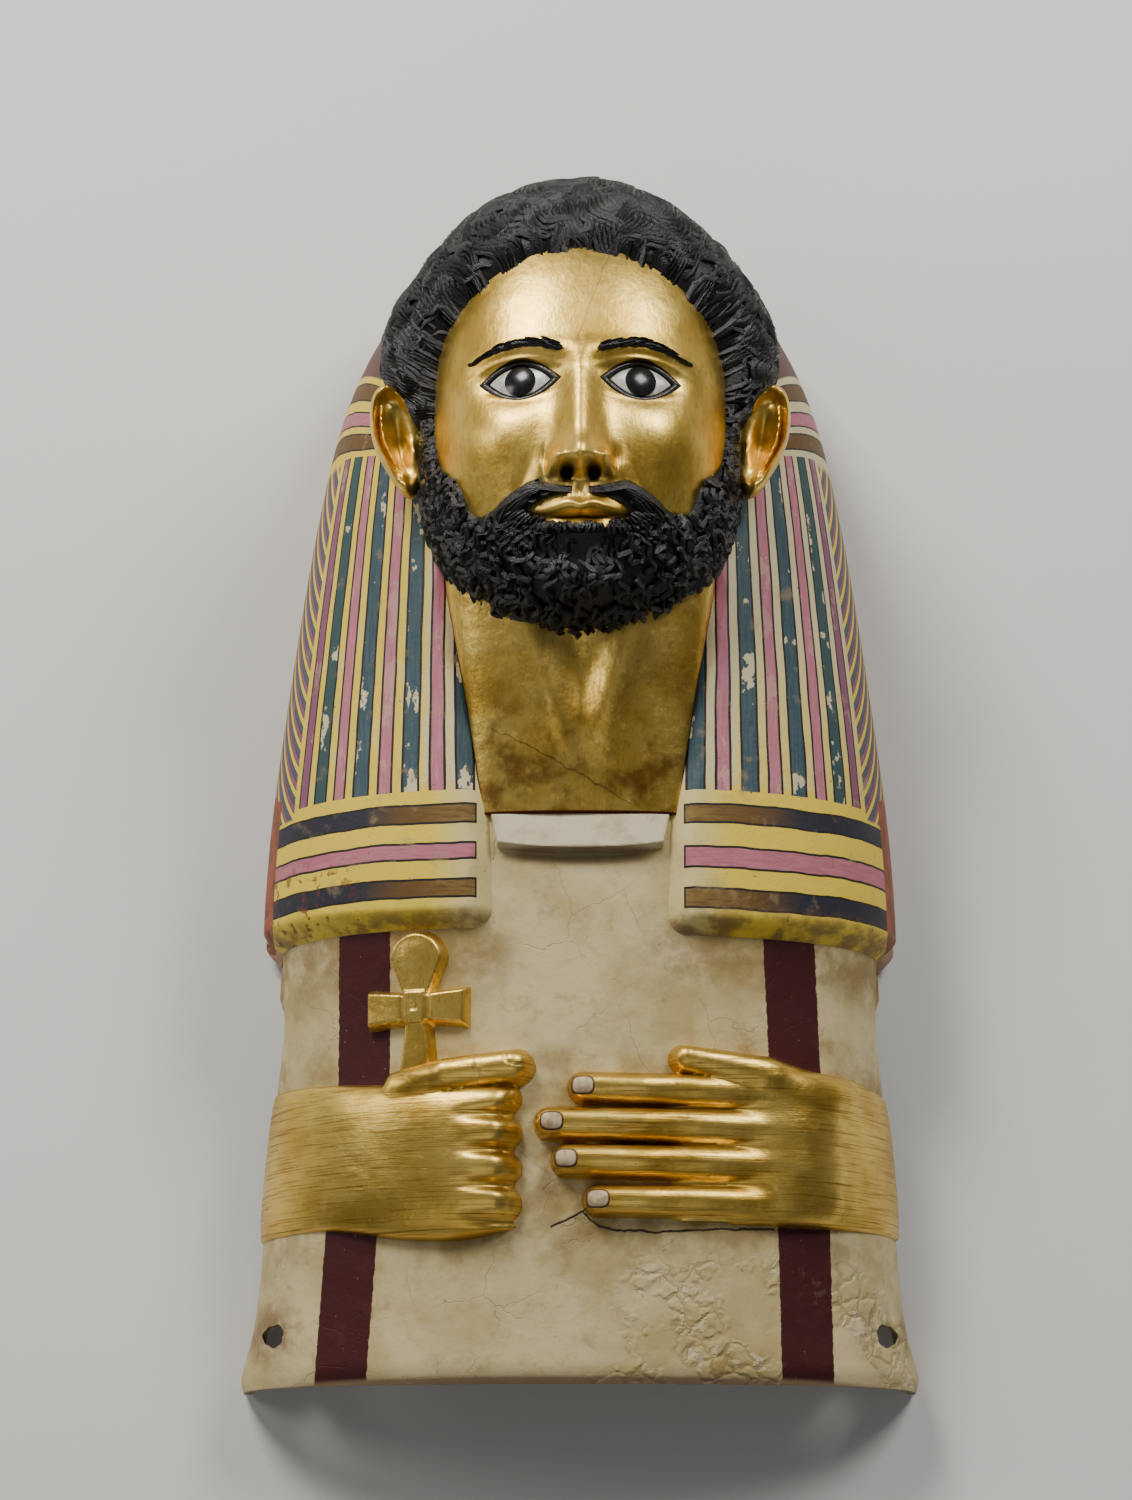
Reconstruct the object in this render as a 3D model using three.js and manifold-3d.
// A funerary mask of linen and plaster, gilded and painted, lying on its back with the face up.
// Millimetres. X runs across the mask, Y from the foot edge to the crown, and Z up from the surface
// it lies on. The origin is under the middle of the mask.

import * as THREE from "three";
import { mergeVertices } from "three/addons/utils/BufferGeometryUtils.js";
import Module from "manifold-3d";

const wasm = await Module();
wasm.setup();

// Sizes of the body and of its walls
const LENGTH = 588;
const HALF_WIDTH = 168;
const CHEST_HEIGHT = 128;
const WALL = 7;
const VEIL_THICKNESS = 9;
const LAPPET_GAP = 84;

// Sizes of the openings
const SIDE_RIM_HEIGHT = 45;
const PANEL_EDGE_HEIGHT = 9;
const PANEL_CORNER = 34;
const TIE_HOLE_RADIUS = 5;
const TIE_HOLE_INSET = 20;
const TIE_HOLE_FROM_FOOT = 25;

// Sizes of the head
const HEAD_HEIGHT = 212;
const HEAD_MIDDLE = 0.48;
const FACE_HALF_WIDTH = 75;
const FACE_LEVEL = 203;
const HEAD_AXIS_LEVEL = 128;
const FACE_WALL = 13;
const HAIR_TOP_THICKNESS = 13;
const HAIR_SIDE_THICKNESS = 26;
const BEARD_THICKNESS = 8;
const HAIR_ROOT = 3;
const LOCK_DEPTH = 2.4;
const LOCK_COUNT = 11;
const EAR_REACH = 26;
const BROW_WIDTH = 5.5;
const NECK_RISE = 30;

// Sizes of the inlaid eyes
const EYE_HALF_LENGTH = 14.8;
const EYE_HALF_HEIGHT = 7.6;
const EYE_RIM_WIDTH = 2;
const IRIS_RADIUS = 6.4;
const INLAY_DEPTH = 5;
const INLAY_GAP = 0.3;

// Sizes of the arms and of the sign of life that the fist holds
const ARM_WIDTH = 72;
const ARM_THICKNESS = 12;
const ARM_SIDE_THICKNESS = 2.5;
const OPEN_HAND_ROOT = 74;
const OPEN_HAND_PAST_MIDDLE = 20.5;
const FINGER_RADIUS = 7.4;
const FIST_ROOT = 64;
const FIST_LENGTH = 38;
const KNUCKLE_RADIUS = 8.6;
const THUMB_LENGTH = 59;
const ANKH_FROM_MIDDLE = 79;
const ANKH_HEIGHT = 70;
const ANKH_WIDTH = 46;
const ANKH_THICKNESS = 9;

// Places along the mask, as shares of its length from the foot edge
const ARM_PLACE = 0.182;
const ANKH_PLACE = 0.352;
const PANEL_END = 0.289;
const LEFT_LAPPET_END = 0.367;
const RIGHT_LAPPET_END = 0.355;
const COLLAR_PLACE = 0.429;
const THROAT_PLACE = 0.452;
const SLIT_APEX = 0.459;
const CHIN_PLACE = 0.5986;
const NECK_TOP_PLACE = 0.63;
const BODY_END = 0.9847;

// Small sums used everywhere
const clamp = THREE.MathUtils.clamp;
const smooth = THREE.MathUtils.smoothstep;
const bump = (distance, width) => Math.exp(-((distance / width) ** 2));
const power = (value, exponent) => Math.sign(value) * Math.abs(value) ** exponent;
const yAt = (share) => LENGTH * (share - 0.5);
const shareAt = (y) => y / LENGTH + 0.5;

// A smooth curve through stations, each [place, value], read at one place
function through(stations, place) {
  const last = stations.length - 2;
  const next = stations.findIndex(([start]) => start > place);
  const k = next < 0 ? last : clamp(next - 1, 0, last);
  const slope = (i) => {
    const from = stations[Math.max(i - 1, 0)];
    const to = stations[Math.min(i + 1, last + 1)];
    return (to[1] - from[1]) / (to[0] - from[0]);
  };
  const [start, low] = stations[k];
  const [end, high] = stations[k + 1];
  const span = end - start;
  const t = clamp((place - start) / span, 0, 1);
  const leave = t * (1 - t) * (1 - t) * span * slope(k);
  const arrive = t * t * (t - 1) * span * slope(k + 1);
  return low + (high - low) * t * t * (3 - 2 * t) + leave + arrive;
}

// A geometry with every vertex sent to a new place, as a closed solid
function shaped(geometry, place) {
  const bare = geometry.clone();
  bare.deleteAttribute("normal");
  bare.deleteAttribute("uv");
  bare.clearGroups();
  const merged = mergeVertices(bare, 1e-4);
  const points = merged.getAttribute("position");
  const at = new THREE.Vector3();
  for (let i = 0; i < points.count; i += 1) {
    points.setXYZ(i, ...place(at.fromBufferAttribute(points, i)));
  }
  const welded = mergeVertices(merged, 1e-3);
  const index = welded.index.array;
  const kept = [];
  for (let i = 0; i < index.length; i += 3) {
    const [a, b, c] = index.slice(i, i + 3);
    if (a !== b && b !== c && a !== c) kept.push([a, b, c]);
  }
  const solid = (triangles) =>
    new wasm.Manifold(
      new wasm.Mesh({
        numProp: 3,
        vertProperties: welded.getAttribute("position").array,
        triVerts: new Uint32Array(triangles.flat()),
      }),
    );
  const made = solid(kept);
  return made.volume() > 0 ? made : solid(kept.map(([a, b, c]) => [a, c, b]));
}
const joined = (solids) => solids.reduce((sum, solid) => sum.add(solid));

// A flat outline raised from one height to another, then laid where place says
function raised(outline, low, high, place = (x, y, z) => [x, y, z], curveSegments = 8) {
  const depth = high - low;
  const block = new THREE.ExtrudeGeometry(outline, { depth, curveSegments, bevelEnabled: false });
  return shaped(block, (p) => place(p.x, p.y, p.z + low));
}

// The body: half-widths and crests along the length, as shares of HALF_WIDTH and CHEST_HEIGHT
const BODY_WIDTHS = [
  [0, 1], [0.06, 0.95], [0.15, 0.925], [0.32, 0.895], [0.44, 0.875], [0.58, 0.82],
  [0.75, 0.73], [0.85, 0.64], [0.92, 0.5], [0.965, 0.29], [BODY_END, 0.06],
];
const BODY_CRESTS = [
  [0, 0.6], [0.14, 0.72], [0.32, 0.87], [0.44, 0.97], [0.58, 1.02], [0.75, 1.03],
  [0.85, 0.99], [0.92, 0.86], [0.965, 0.64], [BODY_END, 0.4],
];
const BODY_FULLNESS = 2.6;
const SIDE_LEVEL = 15;
const AROUND_BODY = 28;
const ALONG_BODY = 15;
const SECTIONS_TO_CROWN = 1.5;

const widestAt = (share) => SIDE_LEVEL * smooth(share, PANEL_END, PANEL_END + 0.1);
const halfWidthAt = (share) => through(BODY_WIDTHS, share) * HALF_WIDTH;
const crestAt = (share) => through(BODY_CRESTS, share) * CHEST_HEIGHT;

// A point of the body's section: turn 0 is its right side and a quarter turn its crest
function bodyPoint(share, turn, lift) {
  const side = Math.max(widestAt(share), -lift);
  const floor = Math.max(0, -lift);
  const rise = crestAt(share) + lift - side;
  const x = (halfWidthAt(share) + lift) * power(Math.cos(turn), 2 / BODY_FULLNESS);
  const upper = side + rise * Math.max(0, Math.sin(turn)) ** (2 / BODY_FULLNESS);
  const lower = Math.max(floor, side - 1.6 * side * Math.sqrt(Math.max(0, -Math.sin(turn))));
  return [x, yAt(share) + lift * smooth(share, 0.88, BODY_END), turn >= 0 ? upper : lower];
}

// A point over the chest, lifted off its skin square to it
function overChest(x, y, lift) {
  const share = shareAt(y);
  const across = clamp(x / halfWidthAt(share), -1, 1);
  return bodyPoint(share, Math.acos(power(across, BODY_FULLNESS / 2)), lift);
}

// The body as a solid through its sections, from one share of the length to its end
function bodyLoft(lift, fromShare, footReach = 0) {
  const tube = new THREE.CylinderGeometry(1, 1, 1, AROUND_BODY, ALONG_BODY);
  return shaped(tube, (p) => {
    const share = BODY_END - (0.5 - p.y) ** SECTIONS_TO_CROWN * (BODY_END - fromShare);
    const [x, y, z] = bodyPoint(share, Math.atan2(p.z, p.x), lift);
    const middle = crestAt(share) / 3;
    const out = Math.hypot(p.x, p.z) > 0.5 ? 1 : 0;
    return [x * out, p.y < -0.499 ? y - footReach : y, middle + (z - middle) * out];
  });
}

// The veil, a second layer over the back and shoulders. Its two lappets end on the chest.
function veilOutline() {
  const far = 2 * HALF_WIDTH;
  const half = LAPPET_GAP / 2;
  const throat = yAt(THROAT_PLACE);
  const neckTop = yAt(NECK_TOP_PLACE);
  const lappet = (side, end) => [
    [side * far, end],
    [side * half, end],
    [side * (half + 2), throat],
    [side * (half + 16), neckTop],
    [side * (half + 16), neckTop + HEAD_HEIGHT / 3],
  ];
  const corners = [
    ...lappet(-1, yAt(LEFT_LAPPET_END)),
    ...lappet(1, yAt(RIGHT_LAPPET_END)).reverse(),
    [far, LENGTH],
    [-far, LENGTH],
  ];
  return new THREE.Shape(corners.map(([x, y]) => new THREE.Vector2(x, y)));
}

function veil() {
  const layer = bodyLoft(VEIL_THICKNESS, RIGHT_LAPPET_END - 0.02);
  return layer.intersect(raised(veilOutline(), -WALL, 2 * CHEST_HEIGHT));
}

// What opens the body: the inside, the way in from below, and the slits between front and back
function bodyOpenings() {
  const far = 2 * HALF_WIDTH;
  const panelEnd = yAt(PANEL_END);
  const rimEnd = yAt(0.04);
  const below = new THREE.Shape();
  below.moveTo(-far, -LENGTH);
  below.lineTo(far, -LENGTH);
  below.lineTo(far, panelEnd + PANEL_CORNER);
  below.lineTo(halfWidthAt(PANEL_END), panelEnd + PANEL_CORNER);
  below.quadraticCurveTo(
    halfWidthAt(PANEL_END), panelEnd, halfWidthAt(PANEL_END) - PANEL_CORNER, panelEnd,
  );
  below.lineTo(PANEL_CORNER - halfWidthAt(PANEL_END), panelEnd);
  below.quadraticCurveTo(
    -halfWidthAt(PANEL_END), panelEnd, -halfWidthAt(PANEL_END), panelEnd + PANEL_CORNER,
  );
  below.lineTo(-far, panelEnd + PANEL_CORNER);
  const across = (x, y, z) => [z, x, y];
  const rim = new THREE.Shape();
  rim.moveTo(rimEnd, -2 * WALL);
  rim.lineTo(rimEnd, 0);
  rim.lineTo(panelEnd, SIDE_RIM_HEIGHT);
  rim.lineTo(panelEnd + 2 * PANEL_CORNER, SIDE_RIM_HEIGHT);
  rim.lineTo(panelEnd + 2 * PANEL_CORNER, -2 * WALL);
  const underRim = raised(rim, -far, far, across);
  const slit = new THREE.Shape();
  slit.moveTo(panelEnd - 1, PANEL_EDGE_HEIGHT);
  slit.lineTo(panelEnd - 1, SIDE_RIM_HEIGHT);
  slit.lineTo(yAt(SLIT_APEX) - SIDE_RIM_HEIGHT / 4, SIDE_RIM_HEIGHT);
  slit.quadraticCurveTo(
    yAt(SLIT_APEX), SIDE_RIM_HEIGHT, yAt(SLIT_APEX), SIDE_RIM_HEIGHT - PANEL_EDGE_HEIGHT,
  );
  slit.lineTo(yAt(SLIT_APEX) - PANEL_EDGE_HEIGHT, PANEL_EDGE_HEIGHT);
  const footShares = [0, 0.03, 0.06, 0.09, 0.12];
  const footEdge = footShares.map((share) => [halfWidthAt(share) - WALL, yAt(share)]);
  const foot = new THREE.Shape();
  foot.moveTo(WALL - HALF_WIDTH, -LENGTH);
  foot.lineTo(HALF_WIDTH - WALL, -LENGTH);
  footEdge.forEach(([x, y]) => foot.lineTo(x, y));
  footEdge.reverse().forEach(([x, y]) => foot.lineTo(-x, y));
  return joined([
    bodyLoft(-WALL, 0, 4 * WALL),
    raised(below, -2 * WALL, 2 * SIDE_RIM_HEIGHT).intersect(underRim),
    raised(slit, -far, far, across),
    raised(foot, -2 * WALL, 2 * WALL),
    tieHole(-1),
    tieHole(1),
  ]);
}

function tieHole(side) {
  const x = side * (HALF_WIDTH - TIE_HOLE_INSET);
  const y = yAt(0) + TIE_HOLE_FROM_FOOT;
  const inside = new THREE.Vector3(...overChest(x, y, -4 * WALL));
  const outside = new THREE.Vector3(...overChest(x, y, 4 * WALL));
  const bored = outside.clone().sub(inside);
  const bore = new THREE.CylinderGeometry(TIE_HOLE_RADIUS, TIE_HOLE_RADIUS, bored.length(), 14);
  const turn = new THREE.Quaternion().setFromUnitVectors(
    new THREE.Vector3(0, 1, 0),
    bored.clone().normalize(),
  );
  const middle = inside.clone().lerp(outside, 0.5);
  return shaped(bore, (p) => p.applyQuaternion(turn).add(middle).toArray());
}

// The head. Its places are hundredths of its own height, upwards from the chin and out from the middle.
const HUNDREDTH = HEAD_HEIGHT / 100;
const CHIN_Y = yAt(CHIN_PLACE);
const HEAD_Y = CHIN_Y + HEAD_MIDDLE * HEAD_HEIGHT;
const TOWARDS_CROWN = (1 - HEAD_MIDDLE) * HEAD_HEIGHT;
const TOWARDS_CHIN = HEAD_MIDDLE * HEAD_HEIGHT;
const HEAD_FULLNESS = 2.3;
const MOUTH_UP = 18.5;
const EAR_UP = 43;
const EYE_UP = 50;
const BROW_UP = 56.5;

function faceRelief(x, y) {
  const out = Math.abs(x) / HUNDREDTH;
  const up = (y - CHIN_Y) / HUNDREDTH;
  const down = clamp((52 - up) / 22, 0, 1);
  const ridge = (1.6 + 7.6 * down) * smooth(up, 25.5, 30.5) * (1 - smooth(up, 50, 62));
  const nose = ridge * bump(out, 3.6 + 2.4 * down) + 3 * bump(out - 5.6, 2.4) * bump(up - 29.5, 2.6);
  const mouth = 3 * bump(out, 15) * bump(up - 19, 11) - 1.6 * bump(out, 9) * bump(up - 18.4, 0.9);
  const lips = 2 * bump(out, 8.5) * bump(up - 20.4, 1.8) + 2.2 * bump(out, 7.4) * bump(up - 16.4, 1.9);
  const chin = 4 * bump(out, 11) * bump(up - 6, 6) - 1.6 * bump(out, 10) * bump(up - 12.2, 2.4);
  const socket = -4 * bump(out - 13.5, 8) * bump(up - 50.5, 5.4);
  const brow = 1.4 * bump(out - 12, 12) * bump(up - BROW_UP, 3);
  const cheek = 1.8 * bump(out - 20, 9) * bump(up - 37, 8);
  return HUNDREDTH * (nose + mouth + lips + chin + socket + brow + cheek);
}

// A point of the head in one direction from its middle, lifted off its skin
function headPoint(direction, lift) {
  const [dx, dy, dz] = direction.clone().normalize().toArray();
  const depth = FACE_LEVEL - HEAD_AXIS_LEVEL;
  const height = dy > 0 ? TOWARDS_CROWN : TOWARDS_CHIN;
  const terms = [dx / FACE_HALF_WIDTH, dy / height, dz / depth];
  const total = terms.reduce((sum, term) => sum + Math.abs(term) ** HEAD_FULLNESS, 0);
  const reach = total ** (-1 / HEAD_FULLNESS);
  const front = smooth(dz, 0.15, 0.5);
  const relief = faceRelief(dx * reach, HEAD_Y + dy * reach) * front;
  return [
    dx * (reach + lift),
    HEAD_Y + dy * (reach + lift),
    HEAD_AXIS_LEVEL + dz * (reach + lift) + relief,
  ];
}

// A point on the face straight over a place of the plan
function onFace(x, y, lift) {
  const height = y > HEAD_Y ? TOWARDS_CROWN : TOWARDS_CHIN;
  const acrossShare = Math.abs(x / FACE_HALF_WIDTH) ** HEAD_FULLNESS;
  const alongShare = Math.abs((y - HEAD_Y) / height) ** HEAD_FULLNESS;
  const level = Math.max(0, 1 - acrossShare - alongShare) ** (1 / HEAD_FULLNESS);
  return [x, y, HEAD_AXIS_LEVEL + (FACE_LEVEL - HEAD_AXIS_LEVEL) * level + faceRelief(x, y) + lift];
}

function headBlock(lift, acrossSteps, upSteps, backSteps) {
  const block = new THREE.BoxGeometry(2, 2, 2, acrossSteps, upSteps, backSteps);
  const spread = (value) => Math.tan((value * Math.PI) / 4);
  return shaped(block, (p) => headPoint(new THREE.Vector3(...p.toArray().map(spread)), lift));
}

// Hair and beard in one ring around the face. Locks are ridges across the ring.
function hairRing() {
  const ring = new THREE.TorusGeometry(2, 1, 8, 84);
  return shaped(ring, (p) => {
    const turn = Math.atan2(p.y, p.x);
    const over = Math.atan2(p.z, Math.hypot(p.x, p.y) - 2);
    const top = smooth(Math.sin(turn), -0.25, 0.3);
    const crown = smooth(Math.sin(turn), 0.3, 1);
    const side = HAIR_SIDE_THICKNESS * (1 - crown) + HAIR_TOP_THICKNESS * crown;
    const atEar = bump(Math.sin(turn) + 0.13, 0.33);
    const thickness = (BEARD_THICKNESS * (1 - top) + side * top) * (1 - 0.45 * atEar);
    const inner = 1.14 - 0.26 * crown - 0.52 * (1 - top) * smooth(-Math.sin(turn), 0.3, 0.95);
    const outer = 1.62 + 0.14 * top - 0.32 * atEar;
    const from = (inner + outer) / 2 + ((outer - inner) / 2) * Math.cos(over);
    const raise = Math.sin(over);
    const lock = LOCK_DEPTH * Math.cos(2 * LOCK_COUNT * turn + 5 * from);
    const above = (thickness + HAIR_ROOT) * Math.sqrt(Math.max(0, raise)) + lock * raise - HAIR_ROOT;
    const lift = raise > 0 ? above : (FACE_WALL / 2) * raise - HAIR_ROOT;
    const away = Math.sin(from);
    const direction = new THREE.Vector3(Math.cos(turn) * away, Math.sin(turn) * away, Math.cos(from));
    return headPoint(direction, lift);
  });
}

// What keeps the beard clear of the mouth, down to the skin of the face
function mouthOpening() {
  const opening = new THREE.Shape();
  opening.absellipse(0, CHIN_Y + MOUTH_UP * HUNDREDTH, 12.4 * HUNDREDTH, 4.8 * HUNDREDTH, 0, 2 * Math.PI);
  return raised(opening, 0, 2 * FACE_WALL, onFace, 10);
}

function ear(side) {
  const shell = new THREE.SphereGeometry(1, 10, 7);
  const up = CHIN_Y + EAR_UP * HUNDREDTH;
  return shaped(shell, (p) => {
    const hollow = 0.35 * bump(Math.hypot(p.x - 0.2, p.y - 0.15), 0.5) * (p.z > 0 ? 1 : 0);
    const lobe = 1 - 0.28 * smooth(-p.y, 0.1, 1);
    return [
      side * (FACE_HALF_WIDTH + EAR_REACH * (0.25 + 0.72 * p.x * lobe)),
      up + 13.5 * HUNDREDTH * p.y + 2 * HUNDREDTH * p.x,
      HEAD_AXIS_LEVEL + 19 + 7 * p.x + 12 * (p.z - 1.6 * hollow),
    ];
  });
}

function brow(side) {
  const strip = new THREE.BoxGeometry(1, 1, 1, 10, 2, 1);
  return shaped(strip, (p) => {
    const t = p.x + 0.5;
    const x = side * HUNDREDTH * (4 + 21 * t);
    const arch = CHIN_Y + HUNDREDTH * (BROW_UP + 2.4 * Math.sin(Math.PI * Math.min(1, t * 1.05)) - 1.5 * t);
    const taper = 1 - 0.75 * smooth(t, 0.55, 1);
    const crest = 1.8 - 2 * Math.abs(p.y);
    return onFace(x, arch + BROW_WIDTH * p.y * taper, p.z > 0 ? crest : -2);
  });
}

// The neck, a column under the beard with the two tendons that meet over the throat
function neck() {
  const block = new THREE.BoxGeometry(1, 1, 1, 10, 8, 1);
  const low = yAt(COLLAR_PLACE);
  const high = yAt(NECK_TOP_PLACE) + 3 * FACE_WALL;
  return shaped(block, (p) => {
    const t = p.y + 0.5;
    const y = low + (high - low) * t;
    const half = LAPPET_GAP / 2 + 5 + 20 * t;
    const x = 2 * half * p.x;
    const rise = 4 + (NECK_RISE - 4) * Math.min(1, 1.25 * t) ** 1.2;
    const round = Math.sqrt(Math.max(0, 1 - 4 * p.x * p.x));
    const tendon = 2.6 * bump(Math.abs(x) - (6 + 36 * t), 6) * smooth(t, 0, 0.25);
    const lift = p.z > 0 ? rise * (0.25 + 0.75 * round) + tendon : -WALL / 2;
    return overChest(x, y, lift);
  });
}

// The arms: each forearm crosses the chest from its side, and the hands lie in the middle
function forearm(side, wrist) {
  const slab = new THREE.BoxGeometry(1, 1, 1, 5, 6, 1);
  const outer = halfWidthAt(ARM_PLACE) - 2;
  return shaped(slab, (p) => {
    const t = p.x + 0.5;
    const x = side * (wrist + (outer - wrist) * t);
    const y = yAt(ARM_PLACE) + ARM_WIDTH * p.y * (0.94 + 0.06 * Math.cos(6 * t));
    const round = Math.sqrt(Math.max(0, 1 - (2 * p.y) ** 4));
    const thick = ARM_THICKNESS + (ARM_SIDE_THICKNESS - ARM_THICKNESS) * smooth(t, 0.25, 0.95);
    return overChest(x, y, p.z > 0 ? thick * (0.15 + 0.85 * round) : -WALL / 2);
  });
}

// A finger along the chest, from its root to the end of its tip, each given as [x, y]
function finger(root, tip, radius, lift) {
  const [start, end] = [new THREE.Vector2(...root), new THREE.Vector2(...tip)];
  const way = end.clone().sub(start);
  const length = way.length();
  const rod = new THREE.CapsuleGeometry(radius, length - 2 * radius, 2, 7);
  way.normalize();
  return shaped(rod, (p) => {
    const along = p.y + length / 2;
    const x = start.x + way.x * along - way.y * p.x;
    const y = start.y + way.y * along + way.x * p.x;
    return overChest(x, y, lift + p.z);
  });
}

// The right hand in the picture lies open, with its fingers out and its thumb above them
function openHand() {
  const arm = yAt(ARM_PLACE);
  const step = ARM_WIDTH / 4;
  const fingers = [15.5, 0, 8, 22.5].map((short, i) => {
    const tip = short - OPEN_HAND_PAST_MIDDLE;
    const y = arm + step * (1.5 - i);
    return finger([OPEN_HAND_ROOT + FINGER_RADIUS, y], [tip, y], FINGER_RADIUS, 5);
  });
  const thumbY = arm + 0.56 * ARM_WIDTH;
  const thumbRoot = OPEN_HAND_ROOT + THUMB_LENGTH / 2;
  const thumb = finger([thumbRoot, thumbY], [thumbRoot - THUMB_LENGTH, thumbY + 6], FINGER_RADIUS, 5);
  return joined([forearm(1, OPEN_HAND_ROOT), thumb, ...fingers]);
}

// The left hand in the picture is a fist, with its thumb along the top
function fist() {
  const arm = yAt(ARM_PLACE);
  const step = ARM_WIDTH / 4.2;
  const tip = FIST_LENGTH - FIST_ROOT;
  const knuckles = [1.5, 0.5, -0.5, -1.5].map((place) => {
    const y = arm - 2 + step * place;
    return finger([-FIST_ROOT - KNUCKLE_RADIUS / 2, y], [tip, y], KNUCKLE_RADIUS, KNUCKLE_RADIUS - 1);
  });
  const thumbY = arm + ARM_WIDTH / 2;
  const thumbRoot = -FIST_ROOT - FIST_LENGTH / 2;
  const thumb = finger([thumbRoot, thumbY], [thumbRoot + THUMB_LENGTH, thumbY + 3], FINGER_RADIUS, 8);
  return joined([forearm(-1, FIST_ROOT - FIST_LENGTH / 2), thumb, ...knuckles]);
}

// The sign of life: a loop on a knot, a crossbar with flared ends, and a stem into the fist
function ankh() {
  const x = -ANKH_FROM_MIDDLE;
  const top = yAt(ANKH_PLACE);
  const bar = top - 0.53 * ANKH_HEIGHT;
  const half = ANKH_WIDTH / 2;
  const polygon = (corners) => new THREE.Shape(corners.map(([a, b]) => new THREE.Vector2(x + a, b)));
  const loop = new THREE.Shape();
  loop.absellipse(x, top - 0.2 * ANKH_HEIGHT, half / 2, 0.2 * ANKH_HEIGHT, 0, 2 * Math.PI);
  const knot = polygon([
    [-half / 3, top - 0.3 * ANKH_HEIGHT], [half / 3, top - 0.3 * ANKH_HEIGHT],
    [half / 2, bar - 9], [-half / 2, bar - 9],
  ]);
  const crossbar = polygon([
    [-half, bar - 9], [0, bar - 6.5], [half, bar - 9],
    [half, bar + 9], [0, bar + 6.5], [-half, bar + 9],
  ]);
  const stem = polygon([
    [-half / 4, bar], [half / 4, bar], [half / 2, top - ANKH_HEIGHT], [-half / 2, top - ANKH_HEIGHT],
  ]);
  const pieces = [loop, knot, crossbar, stem].map((outline, i) =>
    raised(outline, -WALL / 2, ANKH_THICKNESS - (i % 3), overChest, 5),
  );
  return joined(pieces);
}

// The eyes: an almond outline, grown by an offset, with pointed corners
const EYE_X = 13.4 * HUNDREDTH;
const EYE_Y = CHIN_Y + EYE_UP * HUNDREDTH;

function almond(side, offset) {
  const points = [];
  const steps = 16;
  for (let i = 0; i < steps; i += 1) {
    const turn = (2 * Math.PI * i) / steps;
    const x = side * EYE_X + (EYE_HALF_LENGTH + 1.8 * offset) * Math.cos(turn);
    const y = EYE_Y + (EYE_HALF_HEIGHT + offset) * Math.sin(turn) * Math.abs(Math.sin(turn));
    points.push(new THREE.Vector2(x, y));
  }
  return points;
}

// The plane of one eye, which follows the slope of the face between the corners of the eye
function onEye(side) {
  const level = (across, up) => onFace(side * (EYE_X + across), EYE_Y + up, 0)[2];
  const [inner, outer] = [level(-EYE_HALF_LENGTH, 0), level(EYE_HALF_LENGTH, 0)];
  const [under, above] = [level(0, -EYE_HALF_HEIGHT), level(0, EYE_HALF_HEIGHT)];
  const slope = (outer - inner) / (2 * EYE_HALF_LENGTH);
  const tip = (above - under) / (2 * EYE_HALF_HEIGHT);
  return (x, y, lift) => {
    const plane = (inner + outer) / 2 + slope * (side * x - EYE_X) + tip * (y - EYE_Y);
    return [x, y, plane + lift];
  };
}

function eyeSocket(side) {
  const outline = new THREE.Shape(almond(side, EYE_RIM_WIDTH + 2 * INLAY_GAP));
  return raised(outline, -INLAY_DEPTH, 3 * INLAY_DEPTH, onEye(side));
}

function eyeRim(side) {
  const outline = new THREE.Shape(almond(side, EYE_RIM_WIDTH + INLAY_GAP));
  outline.holes.push(new THREE.Path(almond(side, INLAY_GAP)));
  return raised(outline, INLAY_GAP - INLAY_DEPTH, 1, onEye(side));
}

function eyeLens(side, bulge) {
  const ball = new THREE.SphereGeometry(1, 12, 6);
  const place = onEye(side);
  return shaped(ball, (p) => {
    const x = side * EYE_X + EYE_HALF_LENGTH * p.x;
    const y = EYE_Y + EYE_HALF_HEIGHT * p.y * Math.sqrt(Math.max(0, 1 - p.x * p.x));
    return place(x, y, p.z > 0 ? bulge * p.z - 1 : (INLAY_DEPTH - 2) * p.z - 1);
  });
}

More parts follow.
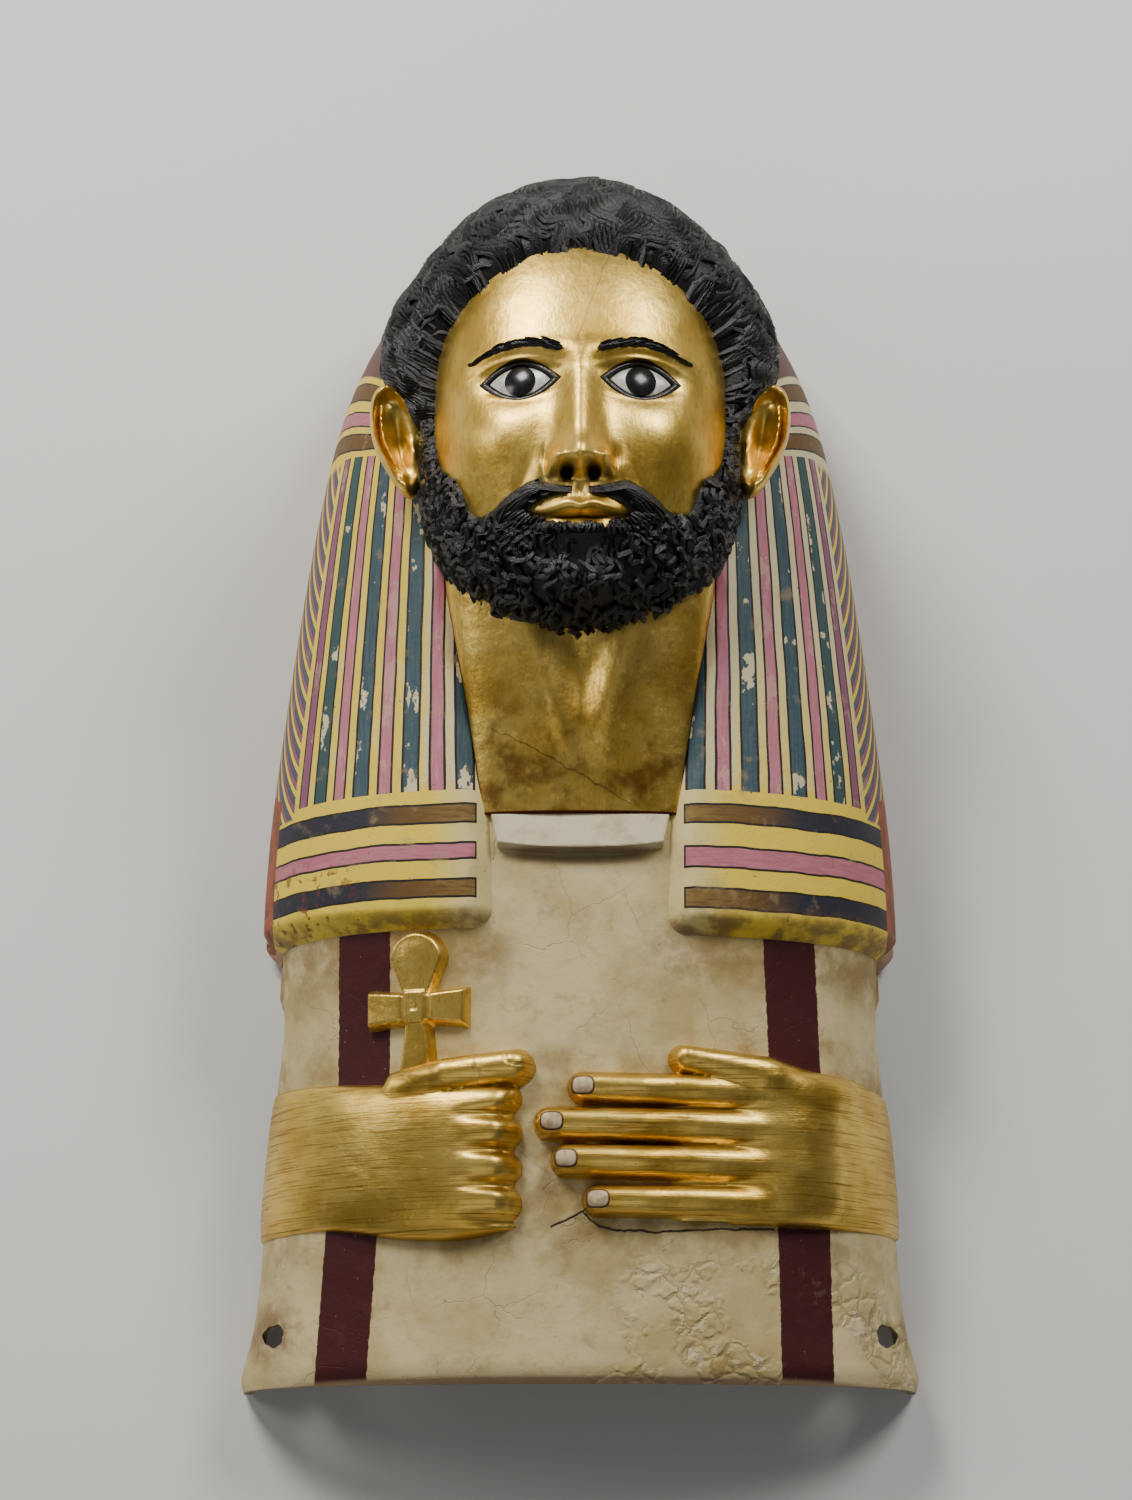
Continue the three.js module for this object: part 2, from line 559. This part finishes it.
function irisRod(side, radius) {
  const outline = new THREE.Shape();
  outline.absellipse(side * EYE_X, EYE_Y, radius, radius, 0, 2 * Math.PI);
  return raised(outline, -INLAY_DEPTH / 2, 3 * INLAY_DEPTH, onEye(side), 10);
}

// The whole mask in one shell, with the sockets that take the inlays
const shell = joined([
  bodyLoft(0, 0),
  veil(),
  headBlock(0, 18, 24, 3),
  hairRing().subtract(mouthOpening()),
  ear(-1),
  ear(1),
  brow(-1),
  brow(1),
  neck(),
  openHand(),
  fist(),
  ankh(),
])
  .subtract(bodyOpenings())
  .subtract(headBlock(-FACE_WALL, 6, 8, 2))
  .subtract(eyeSocket(-1))
  .subtract(eyeSocket(1));

// The meshes and their materials
const gold = new THREE.MeshStandardMaterial({ color: 0xc8963c, roughness: 0.35, metalness: 0.9 });
const blackInlay = new THREE.MeshStandardMaterial({ color: 0x0c0b0b, roughness: 0.15, metalness: 0 });
const whiteInlay = new THREE.MeshStandardMaterial({ color: 0xc9c6ba, roughness: 0.2, metalness: 0 });
const rimInlay = new THREE.MeshStandardMaterial({ color: 0x141212, roughness: 0.4, metalness: 0 });

function meshOf(name, solid, material) {
  const { vertProperties, triVerts } = solid.getMesh();
  const geometry = new THREE.BufferGeometry();
  geometry.setAttribute("position", new THREE.BufferAttribute(vertProperties, 3));
  geometry.setIndex(new THREE.BufferAttribute(triVerts, 1));
  geometry.computeVertexNormals();
  const mesh = new THREE.Mesh(geometry, material);
  mesh.name = name;
  return mesh;
}

const group = new THREE.Group();
group.add(meshOf("mask_shell", shell, gold));
for (const [name, side] of [["left", -1], ["right", 1]]) {
  const hole = irisRod(side, IRIS_RADIUS + INLAY_GAP);
  const white = eyeLens(side, 2).subtract(hole);
  const iris = eyeLens(side, 2.4).intersect(irisRod(side, IRIS_RADIUS));
  group.add(meshOf(name + "_eye_rim", eyeRim(side), rimInlay));
  group.add(meshOf(name + "_eye_white", white, whiteInlay));
  group.add(meshOf(name + "_iris", iris, blackInlay));
}

export default group;
